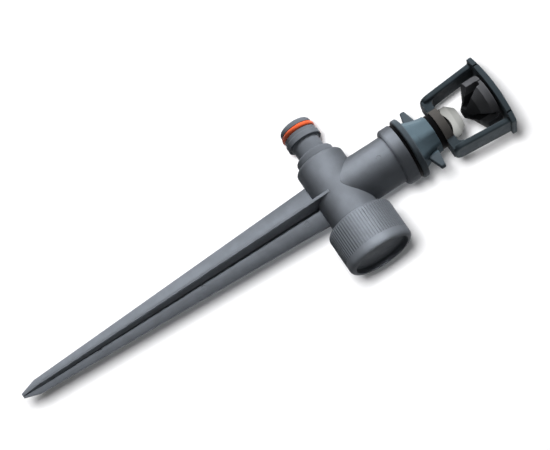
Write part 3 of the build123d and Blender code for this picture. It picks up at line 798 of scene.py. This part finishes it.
# The keys come from the top of the picture, each at the slant that its group of pieces shows. The front
# and side lamps open the shadows, the rear ones are for the back, and the last is for the shadow alone.
LAMPS = (
    Lamp("key", 0.05, 0.97, 0.24, 0.35, 16.5, Reach.ALL_BUT, (WHITE_TABLE, *OWN_KEY)),
    Lamp("riser_key", 0.05, 0.97, 0.24, 0.35, 4.0, Reach.ONLY, RISER),
    Lamp("tee_key", 0.05, 0.85, 0.52, 0.35, 6.5, Reach.ONLY, TEE),
    Lamp("nipple_key", 0.05, 0.85, 0.52, 0.35, 12.0, Reach.ONLY, NIPPLE),
    Lamp("cap_key", 0.00, 0.55, 0.84, 0.35, 11.0, Reach.ONLY, CAP),
    Lamp("nozzle_key", 0.10, 0.22, 0.95, 0.35, 11.5, Reach.ONLY, NOZZLE),
    Lamp("yoke_side", 0.50, -0.74, 0.32, 0.40, 3.2, Reach.ONLY, YOKE),
    Lamp("front", -0.14, 0.16, 0.95, 0.30, 1.0, Reach.ALL_BUT, (WHITE_TABLE, *FINS, *CAP)),
    Lamp("side", 0.50, -0.74, 0.32, 0.40, 0.7, Reach.ALL_BUT, (WHITE_TABLE,)),
    Lamp("fin_side", 0.54, -0.71, -0.43, 0.40, 5.0, Reach.ONLY, FINS),
    Lamp("rear", 0.07, -0.04, -0.86, 0.40, 9.0, Reach.ALL_BUT, (WHITE_TABLE,)),
    Lamp("shadow", -0.12, 0.12, 0.95, 0.22, 12.8, Reach.ONLY, (WHITE_TABLE,)),
)

# Each lights the crest of its pieces, whose sides turn dark. The first leans with the taper of the fins,
# and the last lies along the barrel.
STRIP_LAMPS = (
    StripLamp(
        "fin_strip",
        left=30 * MM,
        front=150 * MM,
        height=-80 * MM,
        aim_left=5.5 * MM,
        width=12 * MM,
        length=340 * MM,
        power=0.033,
        spread_degrees=13,
        things=FINS,
        lean_degrees=-1.4,
    ),
    StripLamp(
        "riser_strip",
        left=50 * MM,
        front=140 * MM,
        height=45 * MM,
        aim_left=-0.5 * MM,
        width=6 * MM,
        length=120 * MM,
        power=0.006,
        spread_degrees=8,
        things=RISER,
    ),
    StripLamp(
        "tee_strip",
        left=-15 * MM,
        front=140 * MM,
        height=20.5 * MM,
        aim_left=-15 * MM,
        width=8 * MM,
        length=160 * MM,
        power=0.0065,
        spread_degrees=10,
        things=(*TEE, *CAP),
        lean_degrees=90,
    ),
)


@dataclass
class Studio:
    """White table that the sprinkler lies on, the lamps and the pale surroundings."""

    view: PhotoView
    table_gap: float = 27.0 * MM
    table_slope: float = 0.05
    table_size: float = 3.0
    table_colour: tuple[float, float, float, float] = (0.86, 0.86, 0.87, 1.0)
    table_lift: float = 0.08
    table_fade: tuple[float, float] = (0.22, 0.45)
    table_bounce: float = 0.04
    ambient: float = 0.02

    def seen_directly(self, tree: bpy.types.NodeTree) -> bpy.types.NodeSocket:
        """Tells the rays that show a picture of a surface from those that only carry its light.

        Args:
            tree: the node tree to build in.
        Returns:
            1 for camera, glossy and transmission rays, 0 for the rest.
        """
        path = tree.nodes.new("ShaderNodeLightPath")
        share = path.outputs["Is Camera Ray"]
        for kind in ("Is Glossy Ray", "Is Transmission Ray"):
            larger = tree.nodes.new("ShaderNodeMath")
            larger.operation = "MAXIMUM"
            tree.links.new(share, larger.inputs[0])
            tree.links.new(path.outputs[kind], larger.inputs[1])
            share = larger.outputs["Value"]
        return share

    def surroundings(self) -> None:
        """Soft grey light from all round, which the camera, mirrors and glass see as white."""
        world = bpy.data.worlds.new("studio")
        bpy.context.scene.world = world
        world.use_nodes = True
        tree = world.node_tree
        tree.nodes.clear()
        output = tree.nodes.new("ShaderNodeOutputWorld")
        soft = tree.nodes.new("ShaderNodeBackground")
        soft.inputs["Color"].default_value = WHITE
        soft.inputs["Strength"].default_value = self.ambient
        white = tree.nodes.new("ShaderNodeBackground")
        white.inputs["Color"].default_value = WHITE
        white.inputs["Strength"].default_value = 1.0
        mix = tree.nodes.new("ShaderNodeMixShader")
        tree.links.new(self.seen_directly(tree), mix.inputs["Fac"])
        tree.links.new(soft.outputs["Background"], mix.inputs[1])
        tree.links.new(white.outputs["Background"], mix.inputs[2])
        tree.links.new(mix.outputs["Shader"], output.inputs["Surface"])

    def table_material(self) -> bpy.types.Material:
        """White table that takes shadows near the part, and that nothing sees from behind."""
        board = NodeBoard(WHITE_TABLE)
        board.surface.inputs["Base Color"].default_value = self.table_colour
        board.set_numbers(Roughness=0.9, Specular_IOR_Level=0.1)
        seen = self.seen_directly(board.tree)
        glow = board.add("ShaderNodeEmission")
        away = board.add("ShaderNodeVectorMath")
        away.operation = "LENGTH"
        board.link(board.place, away.inputs[0])
        lift = board.span(away.outputs["Value"], *self.table_fade, self.table_lift, 1.0)
        board.link(lift, glow.inputs["Strength"])
        both = board.add("ShaderNodeAddShader")
        board.link(board.surface.outputs["BSDF"], both.inputs[0])
        board.link(glow.outputs["Emission"], both.inputs[1])
        dim = board.add("ShaderNodeBsdfDiffuse")
        dim.inputs["Color"].default_value = (self.table_bounce, self.table_bounce, self.table_bounce, 1.0)
        front = board.add("ShaderNodeMixShader")
        board.link(seen, front.inputs["Fac"])
        board.link(dim.outputs["BSDF"], front.inputs[1])
        board.link(both.outputs["Shader"], front.inputs[2])
        clear = board.add("ShaderNodeBsdfTransparent")
        side = board.add("ShaderNodeMixShader")
        board.link(board.add("ShaderNodeNewGeometry").outputs["Backfacing"], side.inputs["Fac"])
        board.link(front.outputs["Shader"], side.inputs[1])
        board.link(clear.outputs["BSDF"], side.inputs[2])
        board.link(side.outputs["Shader"], board.output.inputs["Surface"])
        return board.material

    def table(self) -> None:
        """Adds the table behind the part, nearest to the spike's point."""
        bpy.ops.object.select_all(action="DESELECT")
        bpy.ops.mesh.primitive_plane_add(size=self.table_size)
        table = bpy.context.object
        table.name = WHITE_TABLE
        facing = self.view.back() + Vector((0.0, 0.0, self.table_slope))
        turn = facing.to_track_quat("Z", "Y").to_matrix()
        place = Vector((0.0, 0.0, self.view.barrel_height)) - self.view.back() * self.table_gap
        table.data.transform(Matrix.Translation(place) @ turn.to_4x4())
        table.data.materials.append(self.table_material())
        table.visible_shadow = False
        log.info("table %.0f mm behind the spike axis", self.table_gap / MM)

    def build(self) -> None:
        """Sets up the surroundings, the table and the lamps."""
        bpy.context.scene.view_settings.view_transform = "Standard"
        self.surroundings()
        self.table()
        for lamp in LAMPS:
            lamp.build(self.view)
        for lamp in STRIP_LAMPS:
            lamp.build()


def main() -> None:
    """Dresses every sub-assembly, then builds the studio and the camera."""
    logging.basicConfig(level=logging.INFO, format="%(name)s: %(message)s")
    wardrobe = Wardrobe()
    for assembly in (SpikeAndTee(wardrobe), EndCap(wardrobe), Head(wardrobe)):
        assembly.dress()
    view = PhotoView()
    view.build()
    Studio(view).build()


if __name__ == "__main__":
    main()
